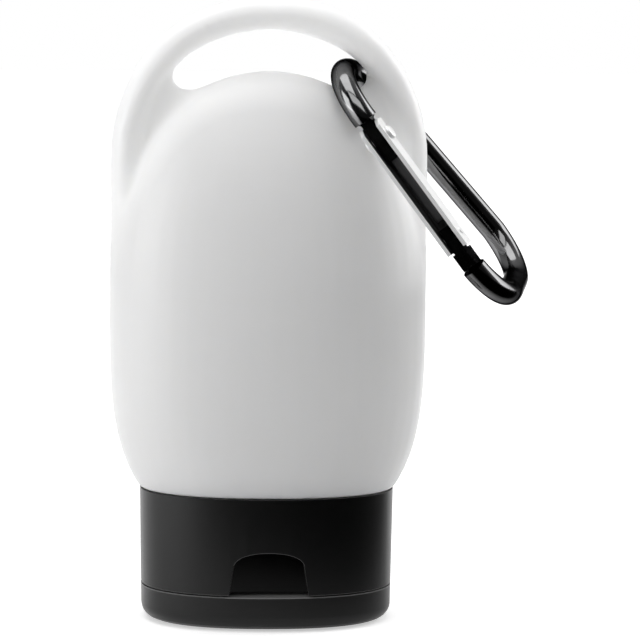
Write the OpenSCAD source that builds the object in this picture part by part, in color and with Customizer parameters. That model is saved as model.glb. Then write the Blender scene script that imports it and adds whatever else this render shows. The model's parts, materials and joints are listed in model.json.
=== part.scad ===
// Carry-along lotion bottle that stands on its flip-lid closure, with a mini carabiner in its handle.
// Z is up, the bottle's axis is the Z axis, the front with the thumb recess faces -Y. Millimetres.

/* [Bottle] */
// Width of the bottle across the belly and the handle arch
bottle_w = 51; // [46:0.5:60]
// Depth of the belly
bottle_d = 30; // [27:0.5:38]
// Height of the top of the handle above the ground
bottle_h = 99.8; // [97:0.2:115]
// Distance from the bulb's top down to the widest part of the belly
belly_drop = 38.3; // [35:0.1:43]
// How far the handle's top stands above the bulb's top
handle_rise = 11.5; // [10.5:0.1:13]
// Wall of the bulb
bottle_wall = 1.2; // [0.8:0.1:2]
// Roundness of the bulb's lower outline, 2 is an ellipse
low_round = 3.3; // [2.4:0.1:4]
// Roundness of the bulb's upper outline, 2 is an ellipse
up_round = 2.2; // [2:0.05:2.6]
// Roundness of the bulb's upper side outline, 2 is an ellipse
side_round = 1.75; // [1.5:0.05:2.2]
// Roundness of the bulb's plan section at its top, 2 is an ellipse
top_plan_round = 2.05; // [1.9:0.05:2.3]
// Roundness of the closure's plan section, 2 is an ellipse
plan_round = 2.3; // [2:0.05:3]

/* [Handle] */
// Height of the curved part of the handle arch
arch_h = 27.5; // [24:0.1:32]
// Roundness of the arch outline, 2 is an ellipse
arch_round = 2.2; // [2:0.05:2.6]
// Thickness of the handle band, seen from the front
band_t = 5.2; // [4.4:0.1:5.3]
// Depth of the handle band
band_d = 6.8; // [5.6:0.1:7]
// Thickness of the web between the band and the bulb
web_t = 2.4; // [2:0.1:2.6]
// How far the slot's edges are eased on each face of the web
slot_ease = 1; // [0.6:0.1:1.1]
// Width of the handle and web beside each end of the finger slot
slot_side = 10; // [9:0.1:10.5]
// How far the middle of each end of the slot lies below the middle of its upper edge
slot_fall = 7.07; // [6.8:0.01:7.2]
// How far the lower edge falls from its middle to the middle of each end
slot_low_fall = 3.56; // [3.4:0.02:3.7]
// How far the slot's lower edge lies below the bulb's top
slot_sink = 0.25; // [0.1:0.05:0.3]
// Radius of the slot's rounded ends
slot_end_r = 2.2; // [2:0.1:2.4]

/* [Neck] */
// Outer radius of the neck
neck_r = 8.5; // [8:0.1:9]
// Radius of the neck's bore
bore_r = 7; // [5.5:0.1:7.2]
// Height of the mouth of the neck above the ground
mouth_z = 9.6; // [9.2:0.1:11]
// Height of the middle of the snap bead
bead_z = 14.5; // [13.5:0.1:15.5]
// How far the snap bead stands out of the neck
bead_out = 0.6; // [0.3:0.1:0.8]

/* [Closure] */
// Width of the closure at its top edge
closure_w = 41; // [38:0.5:45]
// Depth of the closure at its top edge
closure_d = 27.4; // [26:0.2:31]
// How much each side draws in from the closure's top edge to the ground
closure_draft = 0.3; // [0:0.1:0.6]
// Height of the closure's top edge above the ground
closure_h = 21.2; // [20:0.1:24]
// Wall of the closure and the lid
closure_wall = 1.3; // [1:0.1:1.6]
// Height of the underside of the closure's deck
deck_z = 7.2; // [7:0.1:7.4]
// Thickness of the deck
deck_t = 1.4; // [1:0.1:1.6]
// Radial wall of the inner skirt that grips the neck
skirt_t = 1.4; // [1:0.1:1.5]
// Height of the inner skirt's free end
skirt_z = 18.5; // [17:0.1:19]
// Radius of the dispensing orifice
orifice_r = 1.6; // [1.2:0.1:2.4]
// Radius of the boss round the orifice
boss_r = 2.6; // [2.2:0.1:3]
// Height of the boss's lower face
boss_z = 6.3; // [6:0.1:6.6]

/* [Lid] */
// Height of the parting line between the lid and the closure
parting_z = 5.6; // [5:0.1:6]
// Gap between the lid and the closure
lid_gap = 0.24; // [0.1:0.02:0.4]
// Floor of the lid
lid_floor = 1.4; // [1:0.1:2]
// Radius of the lid's bottom edge
lid_edge_r = 2.3; // [1:0.1:3]
// How far the lid's sealing ring reaches over the orifice's boss
seal_past = 0.6; // [0.3:0.05:0.8]
// Wall of the sealing ring
seal_t = 0.6; // [0.5:0.05:0.7]
// Clearance between the sealing ring and the boss
seal_gap = 0.15; // [0.1:0.05:0.2]

/* [Thumb recess] */
// Width of the recess at the parting line
recess_w = 12.9; // [10:0.1:15]
// Width of the recess under its rounded top
recess_top_w = 11.3; // [8:0.1:13]
// Height of the recess above the parting line
recess_h = 6.9; // [5:0.1:8]
// Depth of the recess
recess_d = 2.4; // [1.5:0.1:2.6]
// Radius of the recess's upper corners
recess_r = 2.6; // [1.5:0.1:3.5]

/* [Lid hinge] */
// Width of the living hinge
hinge_w = 14; // [10:0.5:16]
// Height of the hinge film, half above and half below the parting line
hinge_h = 2.6; // [2:0.1:3.2]
// Thickness of the hinge film
hinge_t = 0.4; // [0.3:0.05:0.6]
// Depth of the relief behind the film
relief_d = 0.9; // [0.7:0.05:1]

/* [Carabiner] */
// Overall length of the carabiner
cb_len = 47.8; // [46:0.2:56]
// Diameter of the rod
rod_d = 4; // [3.4:0.1:4.2]
// Radius of the rod's centre line in the turn that sits in the handle
turn_top_r = 8; // [8:0.1:9]
// Half width of the rod's centre line at the free end
low_half_w = 12; // [10.5:0.1:12.5]
// Radius of the rod's centre line in the two corners of the free end
corner_r = 9; // [8:0.1:10]
// Distance from the end of the slot to the middle of the rod that hangs in it
hang_in = 3.65; // [3.6:0.05:3.9]
// How far the middle of the rod's turn lies above the middle of the slot's end
hang_rise = 0.52; // [0.4:0.02:0.6]
// Angle between the hanging carabiner and straight down
hang_tilt = 39; // [36:1:45]
// Turn of the carabiner about its own length
hang_turn = 18; // [14:1:19]
// Lean of the carabiner's free end towards the front
hang_lean = 1.5; // [1:0.5:2]

/* [Gate] */
// Width of the folded gate across its flanges
gate_w = 3.7; // [3.4:0.1:4]
// Depth of the gate from its floor to its open side
gate_d = 3.7; // [3.4:0.1:4]
// Thickness of the gate's sheet
gate_t = 0.65; // [0.5:0.05:0.7]
// Length of the nose between the gate's lower end and the rod's corner
nose_len = 3.35; // [3:0.05:4]
// Distance from the end of the rod's turn down to the gate's top end
gate_top = -0.5; // [-0.7:0.1:0]
// Distance from the gate's top end to its rivet
rivet_in = 2.8; // [2.4:0.1:3.2]
// Radius of the rivet's shank
rivet_r = 0.7; // [0.6:0.05:0.8]
// Radius of the rivet's heads
rivet_head_r = 1.2; // [1:0.05:1.4]
// Height of each rivet head
rivet_head_h = 0.5; // [0.45:0.05:0.6]
// Distance from the gate's lower end to the latch pin
latch_in = 2.3; // [1.6:0.1:2.6]
// Radius of the latch pin
latch_r = 0.5; // [0.4:0.05:0.6]
// How far the latch pin's ends stand out of the flanges
latch_out = 0.15; // [0.05:0.05:0.3]
// Thickness of the flattened tang and of the hooked tongue
tang_t = 1.9; // [1.5:0.1:2]
// Length of the taper between the rod and the tang
tang_taper = 1; // [0.8:0.1:1.4]
// Length of the tang past the rivet
tang_past = 3.9; // [3:0.1:5]
// Thickness of the nose's shoulder
nose_t = 2.4; // [2:0.1:2.6]
// Depth of the nose's shoulder
nose_d = 3.8; // [3.4:0.1:4]
// Length of the tongue past the latch pin
hook_past = 1.8; // [1.4:0.1:2.2]
// Distance from the rivet to the start of the gate's floor
floor_in = 0.6; // [0.4:0.1:1]
// Radius of the gate's two folds
fold_r = 0.5; // [0.4:0.05:0.6]
// Size of the cut-off corner at the top of each flange
gate_nip = 1; // [0.6:0.1:1.2]
// Distance from the tang's lower edge to the slit
slit_in = 0.55; // [0.4:0.05:0.8]
// Length of the slit in the tang that holds the leaf spring
slit_len = 1.5; // [1.2:0.1:2]
// Thickness of the gate's leaf spring
spring_t = 0.25; // [0.15:0.05:0.3]
// Width of the gate's leaf spring
spring_w = 1.5; // [1:0.1:1.6]
// Length of the bend of the gate's leaf spring
spring_bend = 4.5; // [3:0.1:5]
// Distance from the end of the gate's leaf spring to the hooked tongue
spring_short = 1.3; // [1:0.1:6]

/* [Clearances] */
// Gap between the bottle's shoulder and the closure's top edge
shoulder_gap = 0.1; // [0.05:0.05:0.3]
// Radial gap between the neck and the inner skirt
neck_gap = 0.15; // [0.1:0.05:0.3]
// Gap round the hinge film in its relief
film_gap = 0.08; // [0.04:0.02:0.2]
// Radial running clearance of the gate on its rivet
rivet_gap = 0.05; // [0.02:0.01:0.08]
// Gap between the tang and the gate's floor
floor_gap = 0.2; // [0.15:0.05:0.3]
// Gap between the gate's lower end and the nose
nose_gap = 0.35; // [0.3:0.05:0.6]
// Gap between the leaf spring and the gate's floor
spring_gap = 0.12; // [0.1:0.02:0.2]
// Gap between the latch pin and its notch
notch_gap = 0.16; // [0.14:0.02:0.3]

/* [Hidden] */

ring_pts = 48;          // points round each plan section
band_pts = 16;          // points round the handle band
rod_pts = 24;           // points round the carabiner's rod
round_fn = 48;          // facets of round details
eps = 0.05;             // overlap of joined shapes

shoulder_z = closure_h + shoulder_gap;
bulb_top_z = bottle_h - handle_rise;
arch_z = bottle_h - arch_h;
slot_half = bottle_w / 2 - slot_side;
hang_x = slot_half - hang_in;
belly_z = bulb_top_z - belly_drop;
lid_top_z = parting_z - lid_gap / 2;
base_low_z = parting_z + lid_gap / 2;
slot_top_z = bottle_h - band_t;
slot_low_z = bulb_top_z - slot_sink;
slot_end_x = slot_half - slot_end_r;
slot_end_z = slot_top_z - slot_fall;
slot_low_r = (pow(slot_end_x, 2) + pow(slot_low_fall, 2)) / (2 * slot_low_fall);
// The upper edge's radius, so that the edge runs into the rounded ends without a corner
slot_top_r = (pow(slot_end_x, 2) + pow(slot_fall, 2) - pow(slot_end_r, 2)) / (2 * (slot_fall - slot_end_r));
hang_z = slot_end_z + hang_rise;
hinge_y = closure_half_d(parting_z) - hinge_t / 2 - film_gap;
skirt_in_r = neck_r + neck_gap;
skirt_out_r = skirt_in_r + bead_out + skirt_t;

cb_run = cb_len - rod_d;                        // centre line from turn to turn
cb_drop = cb_run - turn_top_r - corner_r;       // height between the turn's and the corners' centres
corner_y = low_half_w - corner_r;               // place of the corners' centres
// Each leg is the common tangent of the top turn and its corner: the corner's centre lies this far out
centre_gap = norm([corner_y, cb_drop]);
splay = asin((corner_r - turn_top_r) / centre_gap) + atan(corner_y / cb_drop);
leg_len = sqrt(pow(centre_gap, 2) - pow(corner_r - turn_top_r, 2));
tang_s = gate_top - tang_taper;                 // the flattened tang starts inside the rod's turn
tang_turn = -tang_s / turn_top_r * 180 / PI;    // angle of the turn that the tang takes
rivet_s = gate_top + rivet_in;
gate_end_s = leg_len - nose_len;
latch_s = gate_end_s - latch_in;
tang_end_s = rivet_s + tang_past;
gate_in = gate_w / 2 - gate_t;                  // half the gap between the flanges
floor_y = gate_t - gate_d / 2;                  // inner face of the gate's floor
tang_low_y = floor_y + floor_gap;

// Superellipse: how wide a form is at the share t of its height
function bulge(t, n) = pow(max(0, 1 - pow(min(abs(t), 1), n)), 1 / n);

// Reach of the lower outline, so that it meets the closure with the share s of the full size
function low_reach(s) = (belly_z - shoulder_z) / bulge(s, low_round);

// Half width and half depth of the bulb at a height, for a bulb that closes at the height top
function bulb_share(z, s, n, top) = z < belly_z ? bulge((belly_z - z) / low_reach(s), low_round)
                                                : bulge((z - belly_z) / (top - belly_z), n);
function bulb_half_w(z, top) = bottle_w / 2 * bulb_share(z, closure_w / bottle_w, up_round, top);
function bulb_half_d(z, top) = bottle_d / 2 * bulb_share(z, closure_d / bottle_d, side_round, top);
function bulb_plan(z) = plan_round
    + (top_plan_round - plan_round) * min(1, (z - shoulder_z) / (belly_z - shoulder_z));

function closure_half_w(z) = closure_w / 2 - closure_draft * (1 - z / closure_h);
function closure_half_d(z) = closure_d / 2 - closure_draft * (1 - z / closure_h);

function signed_pow(v, p) = sign(v) * pow(abs(v), p);

// One plan section as a ring of points
function ring(hw, hd, z, n) = [for (k = [0:ring_pts - 1]) let (a = 360 * k / ring_pts)
    [hw * signed_pow(cos(a), 2 / n), hd * signed_pow(sin(a), 2 / n), z]];

function flat(lists) = [for (l = lists) each l];

// Closed solid through a stack of rings that all have n points
module loft(rings, n) {
    last = len(rings) - 1;
    sides = [for (j = [0:last - 1]) for (k = [0:n - 1]) let (m = (k + 1) % n)
        each [[j * n + k, (j + 1) * n + k, (j + 1) * n + m], [j * n + k, (j + 1) * n + m, j * n + m]]];
    ends = [[for (k = [0:n - 1]) k], [for (k = [n - 1:-1:0]) last * n + k]];
    polyhedron(points = flat(rings), faces = concat(sides, ends), convexity = 6);
}

// Heights of the bulb's rings: even below the belly, closer together towards the top
function bulb_levels(low, top) = concat(
    [for (i = [0:9]) low + (belly_z - low) * (1 - cos(90 * i / 10))],
    [for (i = [0:14]) belly_z + (top - belly_z) * sin(90 * i / 14)]);

// Bulb from the height low up to its closed top, drawn in by inset
module bulb(low, top, inset) {
    loft([for (z = bulb_levels(low, top))
        ring(max(bulb_half_w(z, top) - inset, 0.3), max(bulb_half_d(z, top) - inset, 0.3), z, bulb_plan(z))],
        ring_pts);
}

// Outer outline of the arch, from its left foot over the top to its right foot
function arch_point(a) = [-bottle_w / 2 * signed_pow(cos(a), 2 / arch_round),
                          arch_z + arch_h * pow(sin(a), 2 / arch_round)];
arch_steps = 30;
arch_outline = concat(
    [for (i = [0:3]) [-bottle_w / 2, belly_z + (arch_z - belly_z) * i / 4]],
    [for (i = [0:arch_steps]) arch_point(180 * i / arch_steps)],
    [for (i = [3:-1:0]) [bottle_w / 2, belly_z + (arch_z - belly_z) * i / 4]]);

function unit(v) = v / norm(v);
function arch_normal(i) = let (last = len(arch_outline) - 1, p = arch_outline[max(i - 1, 0)],
    q = arch_outline[min(i + 1, last)], t = unit(q - p)) [-t[1], t[0]];

module handle_band() {
    loft([for (i = [0:len(arch_outline) - 1])
        let (p = arch_outline[i], m = arch_normal(i), c = p - m * band_t / 2)
        [for (k = [0:band_pts - 1]) let (a = 360 * k / band_pts, r = band_t / 2 * cos(a))
            [c[0] + m[0] * r, -band_d / 2 * sin(a), c[1] + m[1] * r]]], band_pts);
}

// Finger slot between two arcs, with rounded ends, grown by g
module slot_outline(g) {
    end_r = slot_end_r + g;
    top_r = slot_top_r + g;
    low_r = slot_low_r - g;
    top_c = slot_top_z - slot_top_r;
    low_c = slot_low_z - slot_low_r;
    steps = 16;
    polygon(concat(
        [for (i = [-steps:steps]) let (x = slot_end_x * i / steps) [x, top_c + sqrt(pow(top_r, 2) - x * x)]],
        [for (a = [60:-30:-60]) [slot_end_x + end_r * cos(a), slot_end_z + end_r * sin(a)]],
        [for (i = [steps:-1:-steps]) let (x = slot_end_x * i / steps)
            [x, max(low_c + sqrt(pow(low_r, 2) - x * x), slot_end_z - end_r)]],
        [for (a = [240:-30:120]) [-slot_end_x + end_r * cos(a), slot_end_z + end_r * sin(a)]]));
}

module web() {
    rotate([90, 0, 0]) difference() {
        linear_extrude(height = web_t, center = true)
            polygon([for (i = [0:len(arch_outline) - 1]) arch_outline[i] - arch_normal(i) * band_t / 2]);
        linear_extrude(height = 2 * web_t, center = true) slot_outline(0);
        for (side = [-1, 1]) translate([0, 0, side * web_t / 2])
            linear_extrude(height = slot_ease, center = true) slot_outline(slot_ease);
    }
}

module neck() {
    translate([0, 0, mouth_z]) cylinder(h = shoulder_z + bottle_wall - mouth_z, r = neck_r, $fn = round_fn);
    rotate_extrude($fn = round_fn) translate([neck_r, bead_z]) circle(r = bead_out, $fn = 24);
}

module bottle() {
    color("white") difference() {
        union() {
            bulb(shoulder_z, bulb_top_z, 0);
            handle_band();
            web();
            neck();
        }
        bulb(shoulder_z + bottle_wall, bulb_top_z - 2 * bottle_wall, bottle_wall);
        translate([0, 0, mouth_z - 1])
            cylinder(h = shoulder_z + bottle_wall - mouth_z + 1 + eps, r = bore_r, $fn = round_fn);
    }
}

// Solid of the closure's plan between two heights, drawn in by inset
module closure_form(low, top, inset) {
    loft([for (z = [low, top])
        ring(closure_half_w(z) - inset, closure_half_d(z) - inset, z, plan_round)], ring_pts);
}

// Front view of the thumb recess, grown by the wall g
module recess_outline(g) {
    r = recess_r + g;
    half_top = recess_top_w / 2 + g;
    top_z = base_low_z + recess_h + g;
    polygon(concat([[recess_w / 2 + g, base_low_z - 1]],
        [for (a = [0:15:90]) [half_top - r + r * cos(a), top_z - r + r * sin(a)]],
        [for (a = [90:15:180]) [-half_top + r + r * cos(a), top_z - r + r * sin(a)]],
        [[-recess_w / 2 - g, base_low_z - 1]]));
}

recess_y = -closure_half_d(base_low_z) + recess_d;

module hinge_relief() {
    y = hinge_y + hinge_t / 2 + film_gap - relief_d;
    translate([-hinge_w / 2 - film_gap, y, parting_z - hinge_h / 2 - film_gap])
        cube([hinge_w + 2 * film_gap, relief_d + 2, hinge_h + 2 * film_gap]);
}

module closure_base() {
    color("black") difference() {
        union() {
            difference() {
                closure_form(base_low_z, closure_h, 0);
                closure_form(deck_z + deck_t, closure_h + 1, closure_wall);
                closure_form(base_low_z - 1, deck_z, closure_wall);
            }
            intersection() {
                closure_form(base_low_z, closure_h, closure_wall / 2);
                translate([0, recess_y + closure_wall, 0]) rotate([90, 0, 0])
                    linear_extrude(height = recess_d + closure_wall) recess_outline(closure_wall);
            }
            translate([0, 0, deck_z + deck_t / 2])
                cylinder(h = skirt_z - deck_z - deck_t / 2, r = skirt_out_r, $fn = round_fn);
            translate([0, 0, boss_z]) cylinder(h = deck_z - boss_z + eps, r = boss_r, $fn = round_fn);
        }
        translate([0, 0, deck_z + deck_t]) cylinder(h = closure_h, r = skirt_in_r, $fn = round_fn);
        rotate_extrude($fn = round_fn) translate([skirt_in_r - neck_gap, bead_z])
            circle(r = bead_out + neck_gap, $fn = 24);
        translate([0, 0, boss_z - 1])
            cylinder(h = deck_z + deck_t + 2 - boss_z, r = orifice_r, $fn = round_fn);
        translate([0, recess_y, 0]) rotate([90, 0, 0]) linear_extrude(height = closure_d) recess_outline(0);
        hinge_relief();
    }
}

module flip_lid() {
    seal_r = boss_r + seal_gap;
    edge_steps = 6;
    color("black") difference() {
        union() {
            difference() {
                loft(concat(
                    [for (i = [0:edge_steps]) let (a = 90 * i / edge_steps, z = lid_edge_r * (1 - cos(a)))
                        ring(closure_half_w(z) - lid_edge_r * (1 - sin(a)),
                             closure_half_d(z) - lid_edge_r * (1 - sin(a)), z, plan_round)],
                    [ring(closure_half_w(lid_top_z), closure_half_d(lid_top_z), lid_top_z, plan_round)]),
                    ring_pts);
                closure_form(lid_floor, lid_top_z + 1, closure_wall);
            }
            difference() {
                closure_form(lid_floor / 2, lid_edge_r + closure_wall, closure_wall / 2);
                closure_form(lid_floor, lid_edge_r + closure_wall + 1, closure_wall + lid_edge_r / 3);
            }
            intersection() {
                closure_form(lid_floor / 2, lid_top_z, closure_wall / 2);
                translate([-recess_w / 2 - closure_wall, -closure_d, 0])
                    cube([recess_w + 2 * closure_wall, closure_d + recess_y + closure_wall, lid_top_z]);
            }
            translate([0, 0, lid_floor / 2])
                cylinder(h = boss_z + seal_past - lid_floor / 2, r = seal_r + seal_t, $fn = round_fn);
        }
        translate([0, 0, lid_floor]) cylinder(h = boss_z + seal_past, r = seal_r, $fn = round_fn);
        hinge_relief();
    }
}

module lid_hinge_film() {
    color("black") translate([-hinge_w / 2, hinge_y - hinge_t / 2, parting_z - hinge_h / 2])
        cube([hinge_w, hinge_t, hinge_h]);
}

// The carabiner hangs straight down from its own origin, gate leg at -Y, and is then laid as it hangs
module hang() {
    translate([hang_x, 0, hang_z]) rotate([-hang_lean, 0, 0]) rotate([0, -hang_tilt, 0])
        rotate([0, 0, -hang_turn]) children();
}

// Along the gate leg: Z runs down the leg from the end of the top turn, Y points away from the spine
module on_gate_leg() {
    translate([0, -turn_top_r * cos(splay), -turn_top_r * (1 + sin(splay))])
        rotate([180 - splay, 0, 0]) children();
}

// Centre line of the rod: over the top turn to the spine, round both corners to the nose, each
// with the direction that faces away from the middle of its turn
turn_steps = 36;
corner_steps = 14;
rod_path = concat(
    [for (i = [0:turn_steps])
        let (a = 180 + splay - tang_turn - i * (180 + 2 * splay - tang_turn) / turn_steps)
        [turn_top_r * cos(a), turn_top_r * (sin(a) - 1), a]],
    [for (i = [0:corner_steps]) let (a = -splay - i * (90 - splay) / corner_steps)
        [corner_y + corner_r * cos(a), corner_r * (1 + sin(a)) - cb_run, a]],
    [for (i = [0:corner_steps]) let (a = -90 - i * (90 - splay) / corner_steps)
        [-corner_y + corner_r * cos(a), corner_r * (1 + sin(a)) - cb_run, a]]);

module rod() {
    loft([for (p = rod_path) [for (k = [0:rod_pts - 1]) let (b = 360 * k / rod_pts, n = rod_d / 2 * cos(b))
        [rod_d / 2 * sin(b), p[0] + n * cos(p[2]), p[1] + n * sin(p[2])]]], rod_pts);
}

// Flat bar in the plane of the carabiner, between two places along the gate leg
module bar(s0, s1, y0, y1, t) {
    translate([-t / 2, y0, s0]) cube([t, y1 - y0, s1 - s0]);
}

module cross_hole(s, r) {
    translate([0, 0, s]) rotate([0, 90, 0]) cylinder(h = 3 * gate_w, r = r, center = true, $fn = round_fn);
}

tang_high_y = gate_d / 2 - gate_t;
tongue_s = gate_end_s + nose_gap;
hook_s = latch_s - hook_past;
slit_y = tang_low_y + slit_in;

module carabiner_frame() {
    color("black") hang() {
        rod();
        on_gate_leg() {
            difference() {
                union() {
                    bar(tang_s - tang_taper / 2, tang_end_s, tang_low_y, tang_high_y, tang_t);
                    translate([0, 0, tang_s - tang_taper / 3])
                        cylinder(h = tang_taper, d1 = rod_d, d2 = tang_t, $fn = 32);
                }
                cross_hole(rivet_s, rivet_r + rivet_gap);
                bar(tang_end_s - slit_len, tang_end_s + slit_len, slit_y - spring_t / 2 - eps,
                    slit_y + spring_t / 2 + eps, tang_t + 1);
            }
            difference() {
                union() {
                    bar(hook_s, tongue_s + eps, tang_low_y, tang_high_y, tang_t);
                    bar(tongue_s, leg_len + eps, -nose_d / 2, nose_d / 2, nose_t);
                }
                cross_hole(latch_s, latch_r + notch_gap);
                bar(latch_s - latch_r - notch_gap, latch_s + latch_r + notch_gap, -rod_d, 0, 2 * tang_t);
            }
        }
    }
}

// Sheet folded round the leg: two flanges and a floor on the spine's side
module carabiner_gate() {
    floor_s = rivet_s + floor_in;
    color("silver") hang() on_gate_leg() difference() {
        union() {
            for (side = [-1, 1]) difference() {
                translate([side * (gate_in + gate_t / 2), 0, 0])
                    bar(gate_top, gate_end_s, -gate_d / 2 + gate_t, gate_d / 2, gate_t);
                translate([side * (gate_in + gate_t / 2), gate_d / 2, gate_top]) rotate([45, 0, 0])
                    cube([2 * gate_t, gate_nip * sqrt(2), gate_nip * sqrt(2)], center = true);
            }
            intersection() {
                bar(gate_top, gate_end_s, -gate_d / 2, -gate_d / 2 + gate_t + eps, gate_w);
                union() {
                    bar(floor_s, gate_end_s, -gate_d / 2, gate_d / 2, gate_w - 2 * fold_r);
                    for (side = [-1, 1]) {
                        translate([side * (gate_w / 2 - fold_r), fold_r - gate_d / 2, floor_s])
                            cylinder(h = gate_end_s - floor_s, r = fold_r, $fn = 24);
                        translate([side * (gate_in + gate_t / 2), 0, 0])
                            bar(floor_s, gate_end_s, -gate_d / 2 + fold_r, gate_d / 2, gate_t);
                    }
                }
            }
        }
        cross_hole(rivet_s, rivet_r + rivet_gap);
        cross_hole(latch_s, latch_r + rivet_gap / 2);
    }
}

// Shank with a domed head on each side
module gate_rivet() {
    head_x = gate_w / 2 + rivet_gap;
    head_round = 0.8 * rivet_head_h;
    color("silver") hang() on_gate_leg() translate([0, 0, rivet_s]) rotate([0, 90, 0]) {
        cylinder(h = 2 * head_x + eps, r = rivet_r, center = true, $fn = round_fn);
        for (side = [0, 180]) rotate([side, 0, 0]) translate([0, 0, head_x])
            rotate_extrude($fn = round_fn) polygon(concat([[0, 0], [rivet_head_r, 0]],
                [for (a = [0:15:90]) [rivet_head_r - head_round * (1 - cos(a)),
                                      rivet_head_h - head_round * (1 - sin(a))]],
                [[0, rivet_head_h]]));
    }
}

module gate_latch_pin() {
    color("silver") hang() on_gate_leg() translate([0, 0, latch_s]) rotate([0, 90, 0])
        cylinder(h = gate_w + 2 * latch_out, r = latch_r, center = true, $fn = round_fn);
}

// Leaf spring: held in the slit of the tang, bent down to the gate's floor and along it
module gate_spring() {
    lie_y = floor_y + spring_gap + spring_t / 2;
    start = tang_end_s - slit_len + spring_gap;
    bend = tang_end_s + spring_t;
    steps = 8;
    path = concat([[start, slit_y]],
        [for (i = [0:steps]) let (t = i / steps, w = t * t * (3 - 2 * t))
            [bend + spring_bend * t, slit_y - (slit_y - lie_y) * w]],
        [[hook_s - spring_short, lie_y]]);
    color("dimgray") hang() on_gate_leg() rotate([0, -90, 0])
        linear_extrude(height = spring_w, center = true)
            polygon(concat([for (p = path) p + [0, spring_t / 2]],
                [for (i = [len(path) - 1:-1:0]) path[i] - [0, spring_t / 2]]));
}

bottle();
closure_base();
flip_lid();
lid_hinge_film();
carabiner_frame();
carabiner_gate();
gate_rivet();
gate_latch_pin();
gate_spring();
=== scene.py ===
import bpy
import json
import math
import numpy as np
from mathutils import Matrix, Vector

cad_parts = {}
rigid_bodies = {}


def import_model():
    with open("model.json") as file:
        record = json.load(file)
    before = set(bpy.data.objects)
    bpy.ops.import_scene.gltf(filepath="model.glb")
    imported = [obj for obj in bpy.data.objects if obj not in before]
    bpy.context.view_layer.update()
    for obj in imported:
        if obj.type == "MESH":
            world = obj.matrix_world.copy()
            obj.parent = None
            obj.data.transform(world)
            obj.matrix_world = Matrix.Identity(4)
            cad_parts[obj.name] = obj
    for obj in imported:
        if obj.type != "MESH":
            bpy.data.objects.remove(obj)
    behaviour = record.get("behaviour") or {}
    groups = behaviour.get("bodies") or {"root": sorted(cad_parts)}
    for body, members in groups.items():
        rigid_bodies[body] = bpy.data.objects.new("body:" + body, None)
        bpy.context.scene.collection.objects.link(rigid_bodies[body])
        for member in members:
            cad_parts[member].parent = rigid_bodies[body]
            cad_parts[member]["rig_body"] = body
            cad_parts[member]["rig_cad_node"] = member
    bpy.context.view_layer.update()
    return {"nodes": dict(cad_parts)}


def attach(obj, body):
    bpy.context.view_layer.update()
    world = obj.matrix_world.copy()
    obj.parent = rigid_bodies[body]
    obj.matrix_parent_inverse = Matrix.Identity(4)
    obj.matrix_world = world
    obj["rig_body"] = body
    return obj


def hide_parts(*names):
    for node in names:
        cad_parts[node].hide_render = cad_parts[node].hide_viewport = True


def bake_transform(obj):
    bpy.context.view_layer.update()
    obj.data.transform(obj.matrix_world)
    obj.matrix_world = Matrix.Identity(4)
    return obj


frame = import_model()
mm = 0.001


# small helpers
def activate(obj):
    bpy.ops.object.select_all(action="DESELECT")
    obj.select_set(True)
    bpy.context.view_layer.objects.active = obj


def applyModifiers(obj):
    activate(obj)
    for name in [m.name for m in obj.modifiers]:
        bpy.ops.object.modifier_apply(modifier=name)


def mergedCopy(node, name):
    source = frame["nodes"][node]
    obj = source.copy()
    obj.data = source.data.copy()
    obj.name = name
    obj.data.name = name
    obj.parent = None
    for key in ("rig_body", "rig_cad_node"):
        if key in obj:
            del obj[key]
    bpy.context.scene.collection.objects.link(obj)
    activate(obj)
    bpy.ops.object.mode_set(mode="EDIT")
    bpy.ops.mesh.select_all(action="SELECT")
    bpy.ops.mesh.remove_doubles(threshold=2e-6)
    bpy.ops.object.mode_set(mode="OBJECT")
    obj.data.materials.clear()
    return obj


def coordinates(obj):
    flat = np.empty(len(obj.data.vertices) * 3, np.float32)
    obj.data.vertices.foreach_get("co", flat)
    return flat.reshape(-1, 3).astype(float) / mm


def subdivideAll(cuts):
    bpy.ops.object.mode_set(mode="EDIT")
    bpy.ops.mesh.select_all(action="SELECT")
    bpy.ops.mesh.subdivide(number_cuts=cuts)
    bpy.ops.object.mode_set(mode="OBJECT")


def smoothShade(obj, degrees):
    activate(obj)
    bpy.ops.object.shade_smooth_by_angle(angle=math.radians(degrees))


# a copy of a CAD node with its flat areas joined, its edges rounded and its shading evened out
def beveled(node, name, width, segments=2, limit=35, shade=32, flatness=0.6, reshape=None):
    obj = mergedCopy(node, name)
    activate(obj)
    bpy.ops.object.mode_set(mode="EDIT")
    bpy.ops.mesh.select_all(action="SELECT")
    bpy.ops.mesh.dissolve_limited(angle_limit=math.radians(flatness))
    bpy.ops.object.mode_set(mode="OBJECT")
    if reshape:
        reshape(obj)
    bevel = obj.modifiers.new("edge", "BEVEL")
    bevel.width = width * mm
    bevel.segments = segments
    bevel.limit_method = "ANGLE"
    bevel.angle_limit = math.radians(limit)
    bevel.use_clamp_overlap = True
    applyModifiers(obj)
    smoothShade(obj, shade)
    even = obj.modifiers.new("even", "WEIGHTED_NORMAL")
    even.keep_sharp = True
    even.weight = 80
    obj.modifiers.new("tri", "TRIANGULATE").keep_custom_normals = True
    applyModifiers(obj)
    return obj


# material helpers
def link(tree, source, target):
    tree.links.new(source, target)


# a socket takes another socket by a link, and a number or a colour as its own value
def feed(tree, value, socket):
    if isinstance(value, bpy.types.NodeSocket):
        link(tree, value, socket)
    elif isinstance(value, tuple):
        socket.default_value = (*value, 1)
    else:
        socket.default_value = value


def addRange(tree, source, low, high, fromLow=0.0, fromHigh=1.0):
    node = tree.nodes.new("ShaderNodeMapRange")
    link(tree, source, node.inputs["Value"])
    feed(tree, fromLow, node.inputs["From Min"])
    feed(tree, fromHigh, node.inputs["From Max"])
    feed(tree, low, node.inputs["To Min"])
    feed(tree, high, node.inputs["To Max"])
    return node.outputs["Result"]


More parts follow.
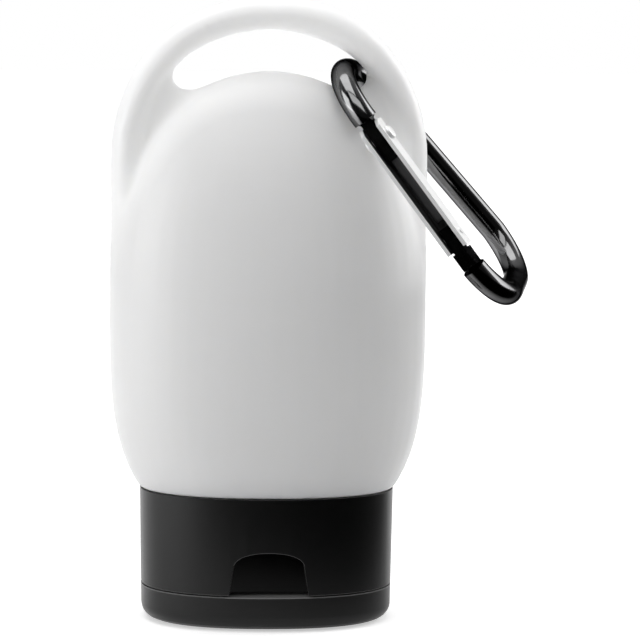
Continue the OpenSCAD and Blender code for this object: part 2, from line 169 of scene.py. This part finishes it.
def addColorMix(tree, factor, colorA, colorB):
    node = tree.nodes.new("ShaderNodeMix")
    node.data_type = "RGBA"
    first, second = [socket for socket in node.inputs if socket.type == "RGBA"]
    link(tree, factor, node.inputs["Factor"])
    feed(tree, colorA, first)
    feed(tree, colorB, second)
    return next(socket for socket in node.outputs if socket.type == "RGBA")


def addMath(tree, operation, *values):
    node = tree.nodes.new("ShaderNodeMath")
    node.operation = operation
    for value, socket in zip(values, node.inputs):
        feed(tree, value, socket)
    return node.outputs["Value"]


def addBump(tree, shader, height, strength, distance):
    node = tree.nodes.new("ShaderNodeBump")
    node.inputs["Strength"].default_value = strength
    node.inputs["Distance"].default_value = distance
    link(tree, height, node.inputs["Height"])
    link(tree, node.outputs["Normal"], shader.inputs["Normal"])


def objectAxes(tree):
    coord = tree.nodes.new("ShaderNodeTexCoord")
    axes = tree.nodes.new("ShaderNodeSeparateXYZ")
    link(tree, coord.outputs["Object"], axes.inputs["Vector"])
    return axes.outputs


# the shared group: one noise pattern, which varies a colour and a roughness and gives the relief
def makeMottle():
    group = bpy.data.node_groups.new("mottle", "ShaderNodeTree")
    inputs = dict(Vector="NodeSocketVector", Scale="NodeSocketFloat", Detail="NodeSocketFloat",
                  Break="NodeSocketFloat", Dark="NodeSocketColor", Light="NodeSocketColor",
                  Smooth="NodeSocketFloat", Rough="NodeSocketFloat")
    outputs = dict(Pattern="NodeSocketFloat", Color="NodeSocketColor", Roughness="NodeSocketFloat")
    for label, kind in inputs.items():
        group.interface.new_socket(name=label, in_out="INPUT", socket_type=kind)
    for label, kind in outputs.items():
        group.interface.new_socket(name=label, in_out="OUTPUT", socket_type=kind)
    given = group.nodes.new("NodeGroupInput").outputs
    result = group.nodes.new("NodeGroupOutput").inputs
    noise = group.nodes.new("ShaderNodeTexNoise")
    for label in ("Vector", "Scale", "Detail"):
        link(group, given[label], noise.inputs[label])
    link(group, given["Break"], noise.inputs["Roughness"])
    pattern = noise.outputs["Fac"]
    link(group, pattern, result["Pattern"])
    link(group, addColorMix(group, pattern, given["Dark"], given["Light"]), result["Color"])
    link(group, addRange(group, pattern, given["Smooth"], given["Rough"]), result["Roughness"])
    return group


mottle = makeMottle()


# the shared group placed in a material, with that material's own values
def addMottle(tree, scale, detail, breakUp=0.5, colors=None, gloss=None):
    coord = tree.nodes.new("ShaderNodeTexCoord")
    node = tree.nodes.new("ShaderNodeGroup")
    node.node_tree = mottle
    link(tree, coord.outputs["Object"], node.inputs["Vector"])
    values = dict(Scale=scale, Detail=detail, Break=breakUp)
    if colors:
        values["Dark"], values["Light"] = colors
    if gloss:
        values["Smooth"], values["Rough"] = gloss
    for label, value in values.items():
        feed(tree, value, node.inputs[label])
    return node.outputs


def newMaterial(name, color, **inputs):
    material = bpy.data.materials.new(name)
    material.use_nodes = True
    shader = material.node_tree.nodes["Principled BSDF"]
    shader.inputs["Base Color"].default_value = (*color, 1)
    for key, value in inputs.items():
        shader.inputs[key.replace("_", " ")].default_value = value
    return material, material.node_tree, shader


# a simple finish: one pattern varies its gloss, its relief and, where colours are given, its colour
def finish(name, color, scale, detail, gloss, strength, distance, colors=None, **inputs):
    material, tree, shader = newMaterial(name, color, **inputs)
    spots = addMottle(tree, scale, detail, colors=colors, gloss=gloss)
    link(tree, spots["Roughness"], shader.inputs["Roughness"])
    if colors:
        link(tree, spots["Color"], shader.inputs["Base Color"])
    addBump(tree, shader, spots["Pattern"], strength, distance)
    return material


# satin white bottle plastic, with faint flow clouds, a fine moulded skin, the mould's seam and a painted glow
# on the web and the handle
white = dict(dark=(0.795, 0.796, 0.798), light=(0.82, 0.82, 0.82), paintedGlowColor=(0.98, 0.98, 0.98),
             glowLowZ=56, glowHighZ=70, glowFromY=2.6, glowToY=7, skinShare=0.12, seamFrom=0.02, seamTo=0.22)


def makeBottleWhite():
    material, tree, shader = newMaterial("bottleWhite", (0.8, 0.8, 0.8), Subsurface_Weight=0.7,
                                         Subsurface_Scale=0.008, Subsurface_Radius=(1, 0.98, 0.94))
    cloud = addMottle(tree, scale=45, detail=3, colors=(white["dark"], white["light"]))
    patch = addMottle(tree, scale=160, detail=4, gloss=(0.36, 0.44))
    skin = addMottle(tree, scale=2200, detail=2)
    link(tree, patch["Roughness"], shader.inputs["Roughness"])
    axes = objectAxes(tree)
    off = addMath(tree, "ABSOLUTE", axes["Y"])
    # painted light: the web and the handle get a lighter colour, standing in for the light that gets through
    # them more than through the filled bulb
    high = addRange(tree, axes["Z"], 0.0, 1.0, white["glowLowZ"] * mm, white["glowHighZ"] * mm)
    middle = addRange(tree, off, 1.0, 0.0, white["glowFromY"] * mm, white["glowToY"] * mm)
    paintedGlow = addMath(tree, "MULTIPLY", high, middle)
    link(tree, addColorMix(tree, paintedGlow, cloud["Color"], white["paintedGlowColor"]), shader.inputs["Base Color"])
    seam = addRange(tree, off, 1.0, 0.0, white["seamFrom"] * mm, white["seamTo"] * mm)
    skinHeight = addMath(tree, "MULTIPLY", skin["Pattern"], white["skinShare"])
    addBump(tree, shader, addMath(tree, "ADD", skinHeight, seam), strength=0.35, distance=0.00004)
    return material


# matte black closure plastic with a fine spark-eroded grain; the lid's has a painted highlight line along its
# top edge
paintedLip = dict(low=5.28, high=5.42, halfWidth=6.45, backY=-12.95, fade=0.1, line=0.8, color=(0.2, 0.2, 0.2))


def makeClosureBlack(name, paintedLine):
    material, tree, shader = newMaterial(name, (0.002, 0.002, 0.002), Specular_IOR_Level=0.32,
                                         Sheen_Weight=0.07, Sheen_Roughness=0.35)
    cloud = addMottle(tree, scale=80, detail=3, colors=((0.001, 0.001, 0.0011), (0.0025, 0.0025, 0.0026)))
    grain = addMottle(tree, scale=2600, detail=3, breakUp=0.6, gloss=(0.3, 0.42))
    link(tree, grain["Roughness"], shader.inputs["Roughness"])
    addBump(tree, shader, grain["Pattern"], strength=0.15, distance=0.00004)
    color = cloud["Color"]
    if paintedLine:
        # painted highlight: a lighter line along the lid's top edge, strongest at the front across the recess
        axes = objectAxes(tree)
        edge = addRange(tree, axes["Z"], 0.0, 1.0, paintedLip["low"] * mm, paintedLip["high"] * mm)
        beside = addMath(tree, "ABSOLUTE", axes["X"])
        inX = addRange(tree, beside, 1.0, paintedLip["line"], paintedLip["halfWidth"] * mm,
                       (paintedLip["halfWidth"] + paintedLip["fade"]) * mm)
        inY = addRange(tree, axes["Y"], 1.0, 0.0, paintedLip["backY"] * mm, (paintedLip["backY"] + paintedLip["fade"]) * mm)
        paintedLineMask = addMath(tree, "MULTIPLY", edge, inX)
        paintedLineMask = addMath(tree, "MULTIPLY", paintedLineMask, addMath(tree, "MAXIMUM", inY, paintedLip["line"]))
        color = addColorMix(tree, paintedLineMask, color, paintedLip["color"])
    link(tree, color, shader.inputs["Base Color"])
    return material


whitePlastic = makeBottleWhite()
blackPlastic = makeClosureBlack("closureBlack", paintedLine=False)
lidPlastic = makeClosureBlack("lidBlack", paintedLine=True)
# polished black inside the thumb recess
glossBlack = finish("recessBlack", (0.001, 0.001, 0.001), scale=300, detail=2, gloss=(0.08, 0.16),
                    strength=0.1, distance=0.00004, Specular_IOR_Level=0.15)
# painted highlight on the edges of the closure and of the recess
paintedEdgeHighlight = finish("paintedEdgeHighlight", (0.06, 0.06, 0.06), scale=900, detail=3, gloss=(0.25, 0.4),
                   strength=0.1, distance=0.00002, colors=((0.03, 0.03, 0.03), (0.1, 0.1, 0.1)))
# black anodised rod
rodBlack = finish("rodBlack", (0.2, 0.2, 0.2), scale=500, detail=2, gloss=(0.1, 0.17),
                  strength=0.04, distance=0.00003, colors=((0.16, 0.16, 0.162), (0.22, 0.22, 0.222)),
                  Metallic=1.0, Specular_Tint=(0.12, 0.12, 0.12, 1))
# bright nickel-plated gate, lightly tumbled
gateSilver = finish("gateSilver", (0.95, 0.95, 0.95), scale=900, detail=4, gloss=(0.26, 0.36),
                    strength=0.06, distance=0.00003, colors=((0.93, 0.93, 0.93), (0.97, 0.97, 0.97)),
                    Metallic=0.45)
# the inside of the folded gate: rougher, and coloured dark grey as painted shade
paintedGateShade = finish("paintedGateShade", (0.07, 0.07, 0.07), scale=1400, detail=4, gloss=(0.42, 0.62),
                    strength=0.1, distance=0.00003, colors=((0.03, 0.03, 0.03), (0.12, 0.12, 0.12)),
                    Metallic=0.6)
# dark spring strip
springSteel = finish("springSteel", (0.16, 0.16, 0.165), scale=1500, detail=3, gloss=(0.3, 0.5),
                     strength=0.15, distance=0.00003, Metallic=0.3)
print("materials made")

# bottle
shape = dict(halfW=25.5, halfD=15.0, bellyZ=50.0, lowZ=21.3, topZ=88.3, lowN=3.3, upN=2.2, sideN=1.75,
             closureW=41 / 51, closureD=27.4 / 30, planN=2.3, topPlanN=2.05, leastHalf=0.2, webT=2.4,
             voxel=0.42, hollowDepth=0.6, hollowLow=21.8, hollowHigh=87.9, neckRadius=7.7, neckTop=25,
             creaseReach=3.2, creaseLow=60, creaseLeast=0.02, creaseGain=1.6,
             softFactor=0.5, softTimes=10, blendFactor=0.6, blendTimes=60)


def bulge(t, n):
    return np.power(np.clip(1 - np.power(np.clip(np.abs(t), 0, 1), n), 0, 1), 1 / n)


def bulbHalf(z, half, closureShare, upperN):
    reach = (shape["bellyZ"] - shape["lowZ"]) / bulge(np.array(closureShare), shape["lowN"])
    low = bulge((shape["bellyZ"] - z) / reach, shape["lowN"])
    high = bulge((z - shape["bellyZ"]) / (shape["topZ"] - shape["bellyZ"]), upperN)
    return half * np.where(z < shape["bellyZ"], low, high)


# roughly how many millimetres a point lies outside the bulb's surface
def bulbOffset(p):
    z = p[:, 2]
    w = np.maximum(bulbHalf(z, shape["halfW"], shape["closureW"], shape["upN"]), shape["leastHalf"])
    d = np.maximum(bulbHalf(z, shape["halfD"], shape["closureD"], shape["sideN"]), shape["leastHalf"])
    t = np.clip((z - shape["lowZ"]) / (shape["bellyZ"] - shape["lowZ"]), 0, 1)
    n = shape["planN"] + (shape["topPlanN"] - shape["planN"]) * t
    share = np.power(np.power(np.abs(p[:, 0]) / w, n) + np.power(np.abs(p[:, 1]) / d, n), 1 / n)
    return (share - 1) * np.minimum(w, d)


bottle = mergedCopy("bottle", "bottleShell")
remesh = bottle.modifiers.new("remesh", "REMESH")
remesh.mode = "VOXEL"
remesh.voxel_size = shape["voxel"] * mm
applyModifiers(bottle)

# the hidden inside is taken out
p = coordinates(bottle)
inside = bulbOffset(p) < -shape["hollowDepth"]
inside &= (p[:, 2] > shape["hollowLow"]) & (p[:, 2] < shape["hollowHigh"])
inside |= (np.hypot(p[:, 0], p[:, 1]) < shape["neckRadius"]) & (p[:, 2] < shape["neckTop"])
activate(bottle)
bpy.ops.object.mode_set(mode="EDIT")
bpy.ops.mesh.select_all(action="DESELECT")
bpy.ops.mesh.select_mode(type="VERT")
bpy.ops.object.mode_set(mode="OBJECT")
bottle.data.vertices.foreach_set("select", inside)
bpy.ops.object.mode_set(mode="EDIT")
bpy.ops.mesh.delete(type="VERT")
bpy.ops.object.mode_set(mode="OBJECT")

# handle, web and bulb run softly into each other
p = coordinates(bottle)
toBulb = np.abs(bulbOffset(p))
toWeb = np.abs(np.abs(p[:, 1]) - shape["webT"] / 2)
crease = np.clip(1 - np.maximum(toBulb, toWeb) / shape["creaseReach"], 0, 1)
crease *= p[:, 2] > shape["creaseLow"]
group = bottle.vertex_groups.new(name="crease")
for index in np.nonzero(crease > shape["creaseLeast"])[0]:
    group.add([int(index)], float(min(1, shape["creaseGain"] * crease[index])), "REPLACE")
soft = bottle.modifiers.new("soft", "SMOOTH")
soft.factor = shape["softFactor"]
soft.iterations = shape["softTimes"]
blend = bottle.modifiers.new("blend", "SMOOTH")
blend.factor = shape["blendFactor"]
blend.iterations = shape["blendTimes"]
blend.vertex_group = "crease"
applyModifiers(bottle)
bottle.vertex_groups.clear()
activate(bottle)
bpy.ops.object.shade_smooth()
bottle.data.materials.append(whitePlastic)
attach(bottle, "bottle")
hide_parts("bottle")
print("bottle made:", len(bottle.data.polygons), "faces")

# closure
closure = dict(bevel=0.16, recessHalf=6.5, recessTop=12.9, recessY=-11.5, partingZ=5.6, margin=0.3,
               frontY=-10, rimY=-12.5, edgeBand=0.35, flat=0.95, across=0.15, turned=0.3, lower=0.25,
               leastArea=2e-8, archHalf=5.65, archCorner=2.6, archLow=10.02, archBackY=-11.0,
               archPower=2.3, archFlat=3.2, archNear=0.05, archMargin=0.01, archSlack=0.1,
               archCuts=(0, -2.3, -1.5, -0.75, 0.75, 1.5, 2.3))


# the recess's upper corners run into an even arch
def archRecess(obj):
    activate(obj)
    half, corner = closure["archHalf"], closure["archCorner"]
    topZ = closure["archLow"] + corner
    for x in closure["archCuts"]:
        bpy.ops.object.mode_set(mode="EDIT")
        bpy.ops.mesh.select_all(action="DESELECT")
        bpy.ops.mesh.select_mode(type="FACE")
        bpy.ops.object.mode_set(mode="OBJECT")
        for face in obj.data.polygons:
            c = face.center / mm
            face.select = (abs(c[2] - topZ) < closure["archNear"] and c[1] < closure["archBackY"]
                           and abs(c[0]) < closure["archFlat"])
        bpy.ops.object.mode_set(mode="EDIT")
        bpy.ops.mesh.bisect(plane_co=(x * mm, 0, 0), plane_no=(1, 0, 0))
        bpy.ops.object.mode_set(mode="OBJECT")
    p = coordinates(obj)
    side, above = np.abs(p[:, 0]), p[:, 2] - closure["archLow"]
    inArch = (side < half + closure["archMargin"]) & (p[:, 1] < closure["archBackY"])
    inArch &= (above > closure["archMargin"]) & (above < corner + closure["archSlack"])
    pastFlat = np.clip(side - half + corner, 0, None)
    roundTop = np.sqrt(np.clip(corner ** 2 - pastFlat ** 2, 0, None))
    archTop = corner * bulge(side / half, closure["archPower"])
    p[:, 2] += np.where(inArch, np.minimum(archTop - roundTop, 0), 0)
    obj.data.vertices.foreach_set("co", (p * mm).ravel())
    obj.data.update()
    print("recess arched:", int(inArch.sum()), "points")


base = beveled("closure_base", "closureBody", width=closure["bevel"], reshape=archRecess)
for material in (blackPlastic, glossBlack, paintedEdgeHighlight):
    base.data.materials.append(material)
for face in base.data.polygons:
    (x, y, z), n = face.center / mm, face.normal
    atRecess = (abs(x) < closure["recessHalf"] + closure["margin"] and y < closure["frontY"]
                and z < closure["recessTop"] + closure["margin"])
    backWall = abs(n[1]) > closure["flat"] and y > closure["recessY"]
    sideWall = abs(n[1]) < closure["across"] and face.area > closure["leastArea"]
    rim = -closure["flat"] < n[1] < -closure["turned"] and y < closure["rimY"]
    lowerEdge = z < closure["partingZ"] + closure["edgeBand"] and -closure["flat"] < n[2] < -closure["lower"]
    # the recess's walls get the polished black; its rim and the closure's lower edge get the painted edge
    # highlight
    if atRecess and (backWall or sideWall):
        face.material_index = 1
    elif (atRecess and rim) or lowerEdge:
        face.material_index = 2
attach(base, "bottle")
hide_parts("closure_base")

# lid
lid = beveled("flip_lid", "flipLid", width=0.14)
lid.data.materials.append(lidPlastic)
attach(lid, "lid")
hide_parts("flip_lid")

# living hinge: a film, 0.4 mm thick, between the closure and the lid
hinge = dict(width=14.0, height=2.6, thick=0.4, y=13.1992, z=5.6, rows=12, shade=40)
bpy.ops.mesh.primitive_cube_add(size=1, location=(0, 0, 0))
film = bpy.context.active_object
film.name = "livingHinge"
bpy.ops.object.mode_set(mode="EDIT")
bpy.ops.transform.resize(value=(hinge["width"] * mm, hinge["thick"] * mm, hinge["height"] * mm))
bpy.ops.transform.translate(value=(0, hinge["y"] * mm, hinge["z"] * mm))
subdivideAll(hinge["rows"])
film.data.materials.append(blackPlastic)
smoothShade(film, hinge["shade"])
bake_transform(film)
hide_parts("lid_hinge_film")
print("closure made")

# carabiner rod
rod = beveled("carabiner_frame", "carabinerRod", width=0.12, limit=40, shade=28)
rod.data.materials.append(rodBlack)
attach(rod, "carabiner")
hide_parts("carabiner_frame")

# gate, with its own directions: across its two sides, and out of its open side
channel = dict(rivet=Vector((17.0795, -8.1209, 77.749)) * mm, across=Vector((0.7391, -0.2932, 0.6064)),
               out=Vector((-0.3307, -0.9423, -0.0526)), inner=1.3, floorTop=-0.9, floorGap=0.5, facing=0.7)
gate = beveled("carabiner_gate", "gateChannel", width=0.1, limit=40, shade=28)
gate.data.materials.append(gateSilver)
gate.data.materials.append(paintedGateShade)
# faces between the gate's sides and on its floor get the painted shade
for face in gate.data.polygons:
    place = (face.center - channel["rivet"]) / mm
    between = abs(place.dot(channel["across"])) < channel["inner"]
    sideFace = abs(face.normal.dot(channel["across"])) > channel["facing"]
    floorFace = (place.dot(channel["out"]) > channel["floorTop"] - channel["floorGap"]
                 and face.normal.dot(channel["out"]) > channel["facing"])
    if between and (sideFace or floorFace):
        face.material_index = 1
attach(gate, "gate")
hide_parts("carabiner_gate")
for node, material in dict(gate_rivet=gateSilver, gate_latch_pin=gateSilver, gate_spring=springSteel).items():
    frame["nodes"][node].data.materials.clear()
    frame["nodes"][node].data.materials.append(material)

# the leaf spring: a subdivided copy of the gate's spring, attached to neither the rod nor the gate
strip = dict(cuts=5, shade=40)
leaf = mergedCopy("gate_spring", "leafSpring")
subdivideAll(strip["cuts"])
leaf.data.materials.append(springSteel)
smoothShade(leaf, strip["shade"])
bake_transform(leaf)
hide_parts("gate_spring")
print("carabiner made")

# camera: the photograph's distance, height, slight turn and roll
view = dict(target=Vector((0, 0, 50)) * mm, distance=450 * mm, elevation=6.5, azimuth=-2.4, roll=0.5,
            focal=2797, frameWidth=640, landX=268, landY=308.5, sensor=36)
azimuth, elevation = math.radians(view["azimuth"]), math.radians(view["elevation"])
back = Vector((math.sin(azimuth) * math.cos(elevation), -math.cos(azimuth) * math.cos(elevation),
               math.sin(elevation)))
cameraData = bpy.data.cameras.new("camera")
camera = bpy.data.objects.new("camera", cameraData)
bpy.context.scene.collection.objects.link(camera)
camera.matrix_world = (Matrix.Translation(view["target"] + back * view["distance"])
                       @ back.to_track_quat("Z", "Y").to_matrix().to_4x4()
                       @ Matrix.Rotation(math.radians(view["roll"]), 4, "Z"))
cameraData.sensor_width = view["sensor"]
cameraData.lens = view["focal"] / view["frameWidth"] * view["sensor"]
cameraData.shift_x = (view["frameWidth"] / 2 - view["landX"]) / view["frameWidth"]
cameraData.shift_y = (view["landY"] - view["frameWidth"] / 2) / view["frameWidth"]
cameraData.clip_start = 0.01
cameraData.clip_end = 20
bpy.context.scene.camera = camera

bpy.context.scene.view_settings.view_transform = "Standard"

# floor, world and lights: the floor is white to the camera and to reflections, and keeps the shadow
stage = dict(floorSize=6, floorZ=-0.0002, floorColor=0.8, nearLift=0.5, farLift=1.0, nearReach=0.07,
             farReach=0.3, frontY=-0.07, backY=0.0, frontShare=0.0, turn=0.9, bounce=0.85, glossShare=1.0,
             worldFront=0.02, worldBack=0.6, worldFrom=-0.4, worldTo=0.7, worldSeen=1.0)
floorMaterial = bpy.data.materials.new("floorWhite")
floorMaterial.use_nodes = True
tree = floorMaterial.node_tree
tree.nodes.clear()
output = tree.nodes.new("ShaderNodeOutputMaterial")
diffuse = tree.nodes.new("ShaderNodeBsdfDiffuse")
lift = tree.nodes.new("ShaderNodeEmission")
rays = tree.nodes.new("ShaderNodeLightPath").outputs
coord = tree.nodes.new("ShaderNodeTexCoord")
away = tree.nodes.new("ShaderNodeVectorMath")
away.operation = "LENGTH"
link(tree, coord.outputs["Object"], away.inputs[0])
spread = addRange(tree, away.outputs["Value"], stage["nearLift"], stage["farLift"],
                  stage["nearReach"], stage["farReach"])
# reflections see the floor in front of the object dim, as in a room lit from the sides
axes = objectAxes(tree)
behind = addMath(tree, "SUBTRACT", axes["Y"], addMath(tree, "MULTIPLY", axes["X"], stage["turn"]))
dim = addRange(tree, behind, stage["frontShare"], 1.0, stage["frontY"], stage["backY"])
bounced = addMath(tree, "MULTIPLY", rays["Is Diffuse Ray"], stage["bounce"])
share = addMath(tree, "MAXIMUM", rays["Is Camera Ray"], addMath(tree, "MAXIMUM", bounced, dim))
glossy = addMath(tree, "MULTIPLY", rays["Is Glossy Ray"], addMath(tree, "MULTIPLY", dim, stage["glossShare"]))
seen = addMath(tree, "MAXIMUM", rays["Is Camera Ray"], glossy)
link(tree, addMath(tree, "MULTIPLY", seen, spread), lift.inputs["Strength"])
link(tree, addMath(tree, "MULTIPLY", share, stage["floorColor"]), diffuse.inputs["Color"])
both = tree.nodes.new("ShaderNodeAddShader")
link(tree, diffuse.outputs[0], both.inputs[0])
link(tree, lift.outputs[0], both.inputs[1])
link(tree, both.outputs[0], output.inputs["Surface"])
bpy.ops.mesh.primitive_plane_add(size=stage["floorSize"], location=(0, 0, stage["floorZ"]))
floor = bpy.context.active_object
floor.name = "floor"
floor.data.materials.append(floorMaterial)

world = bpy.data.worlds.new("studio")
bpy.context.scene.world = world
world.use_nodes = True
tree = world.node_tree
background = tree.nodes["Background"]
rays = tree.nodes.new("ShaderNodeLightPath").outputs
coord = tree.nodes.new("ShaderNodeTexCoord")
axes = tree.nodes.new("ShaderNodeSeparateXYZ")
link(tree, coord.outputs["Generated"], axes.inputs["Vector"])
around = addRange(tree, axes.outputs["Y"], stage["worldFront"], stage["worldBack"],
                  stage["worldFrom"], stage["worldTo"])
strength = tree.nodes.new("ShaderNodeMix")
strength.data_type = "FLOAT"
link(tree, rays["Is Camera Ray"], strength.inputs["Factor"])
link(tree, around, strength.inputs["A"])
strength.inputs["B"].default_value = stage["worldSeen"]
link(tree, strength.outputs["Result"], background.inputs["Strength"])
background.inputs["Color"].default_value = (1, 1, 1, 1)

lamps = dict(softboxLeft=dict(place=(-0.5, -0.2, 0.16), aim=(0, 0, 0.04), size=(0.3, 0.4), power=1.2),
             softboxRight=dict(place=(0.55, 0.2, 0.3), aim=(0, 0, 0.06), size=(0.4, 0.5), power=2.2),
             softboxTop=dict(place=(-0.08, 0.0, 0.6), aim=(0, 0, 0.05), size=(0.5, 0.5), power=2.0),
             softboxFront=dict(place=(0.0, -0.44, 0.56), aim=(0, 0, 0.05), size=(0.6, 0.3), power=1.1))
for name, lamp in lamps.items():
    lampData = bpy.data.lights.new(name, "AREA")
    lampData.shape = "RECTANGLE"
    lampData.size, lampData.size_y = lamp["size"]
    lampData.energy = lamp["power"]
    softbox = bpy.data.objects.new(name, lampData)
    bpy.context.scene.collection.objects.link(softbox)
    softbox.location = lamp["place"]
    toward = Vector(lamp["aim"]) - Vector(lamp["place"])
    softbox.rotation_euler = toward.to_track_quat("-Z", "Y").to_euler()
print("stage made")
